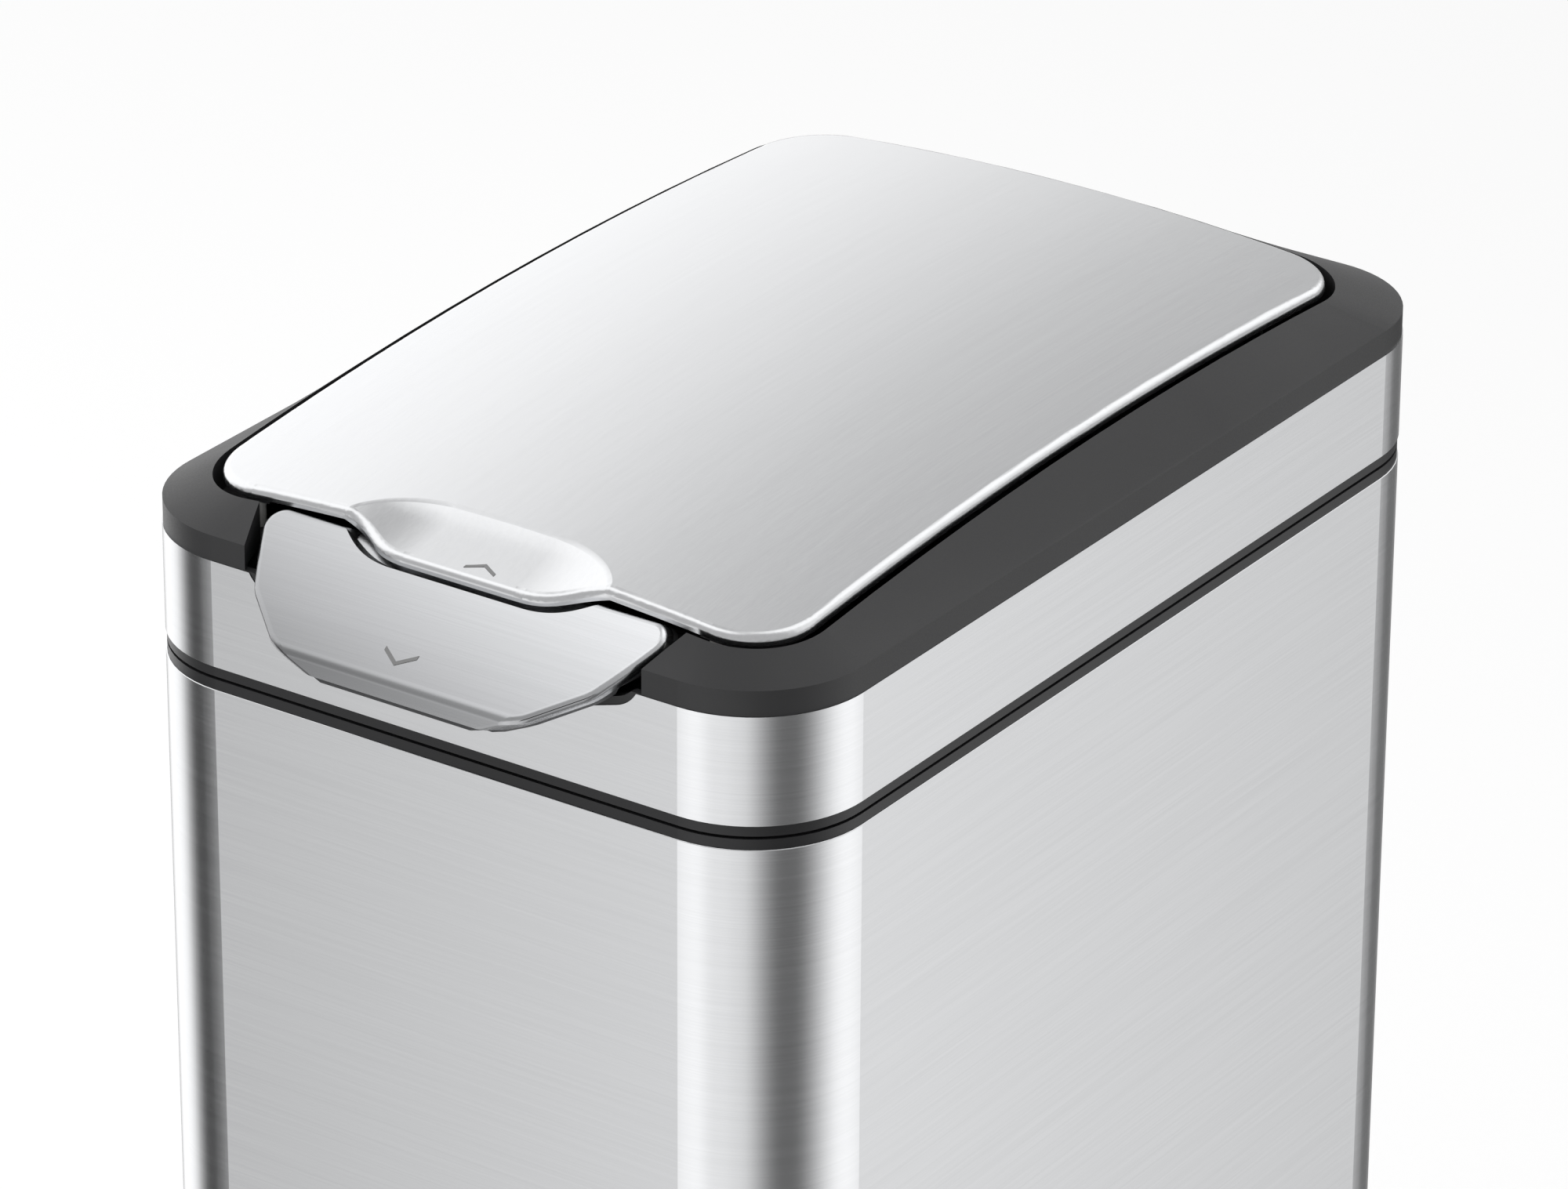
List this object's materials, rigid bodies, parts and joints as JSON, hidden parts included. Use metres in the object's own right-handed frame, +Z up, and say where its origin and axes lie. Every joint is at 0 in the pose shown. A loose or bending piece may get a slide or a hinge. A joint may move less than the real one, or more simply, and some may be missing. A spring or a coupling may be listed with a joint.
{
  "type": "touch top trash can",
  "caption": "Slim rectangular kitchen bin in brushed steel: lift-off hood, sprung push tongue, domed lid on a damped rear hinge, lift-out inner bucket.",
  "frame": {"origin": "bottom centre of the whole object's bounding box, on the floor, push tongue included", "axes": "+Z up, -Y towards the front where the push tongue is, +X to the right of someone facing away from the front"},
  "size_m": [0.25, 0.3984, 0.6216],
  "materials": {
    "steel_shell": "fine brushed, level grain",
    "steel_lid": "fine brushed, grain front to back",
    "steel_tongue": "fine brushed, level grain",
    "dark_plastic": "fine matt",
    "seam_plastic": "satin",
    "bezel_plastic": "fine matt",
    "bucket_plastic": "smooth matt",
    "liner_plastic": "smooth matt",
    "damper_plastic": "smooth",
    "gear_plastic": "natural acetal",
    "latch_plastic": "natural acetal",
    "pad_rubber": "matt",
    "bumper_rubber": "translucent soft stop",
    "screw_steel": "zinc plated",
    "pin_steel": "ground steel",
    "spring_steel": "drawn wire"
  },
  "bodies": {
    "can": {"body_shell": "steel_shell", "base_tray": "dark_plastic", "foot_pads": "pad_rubber", "body_rim": "seam_plastic"},
    "bucket": {"inner_bucket": "bucket_plastic"},
    "hood": {"hood_ring": "seam_plastic", "hood_band": "steel_shell", "bezel": "bezel_plastic", "bezel_screws": "screw_steel", "latch_housing": "dark_plastic", "housing_screws": "screw_steel", "push_pin": "pin_steel", "push_springs": "spring_steel", "hinge_rod": "pin_steel", "rod_clips": "pin_steel", "lid_spring_left": "spring_steel", "lid_spring_right": "spring_steel", "damper_body": "damper_plastic", "damper_screws": "screw_steel"},
    "lid": {"lid_plate": "steel_lid", "lid_liner": "liner_plastic", "lid_arm_left": "liner_plastic", "lid_arm_right": "liner_plastic", "arm_screws": "screw_steel", "lid_striker": "latch_plastic", "striker_screws": "screw_steel", "lid_bumpers": "bumper_rubber"},
    "push_tongue": {"push_plate": "steel_tongue", "push_carrier": "dark_plastic", "latch_hook": "latch_plastic", "latch_screws": "screw_steel"},
    "damper_rotor": {"damper_gear": "gear_plastic"}
  },
  "joints": [
    {"name": "bucket_lift", "type": "slide", "parent": "can", "child": "bucket", "axis": [0, 0, 1], "range_m": [0, 0.55]},
    {"name": "hood_lift", "type": "slide", "parent": "bucket", "child": "hood", "axis": [0, 0, 1], "range_m": [0, 0.12]},
    {"name": "lid_hinge", "type": "hinge", "parent": "hood", "child": "lid", "pos_m": [0, 0.18175, 0.592], "axis": [-1, 0, 0], "range_deg": [0, 80]},
    {"name": "damper_spin", "type": "hinge", "parent": "hood", "child": "damper_rotor", "pos_m": [0, 0.18175, 0.579], "axis": [-1, 0, 0], "range_deg": [-128, 0]},
    {"name": "push_tongue", "type": "hinge", "parent": "hood", "child": "push_tongue", "pos_m": [0, -0.14625, 0.582], "axis": [1, 0, 0], "range_deg": [0, 5], "stiffness_Nm_per_rad": 1.5, "springref_deg": -8.59, "deforming": ["push_springs"]}
  ],
  "couplings": [
    {"joint": "damper_spin", "follows": "lid_hinge", "ratio": -1.6}
  ]
}
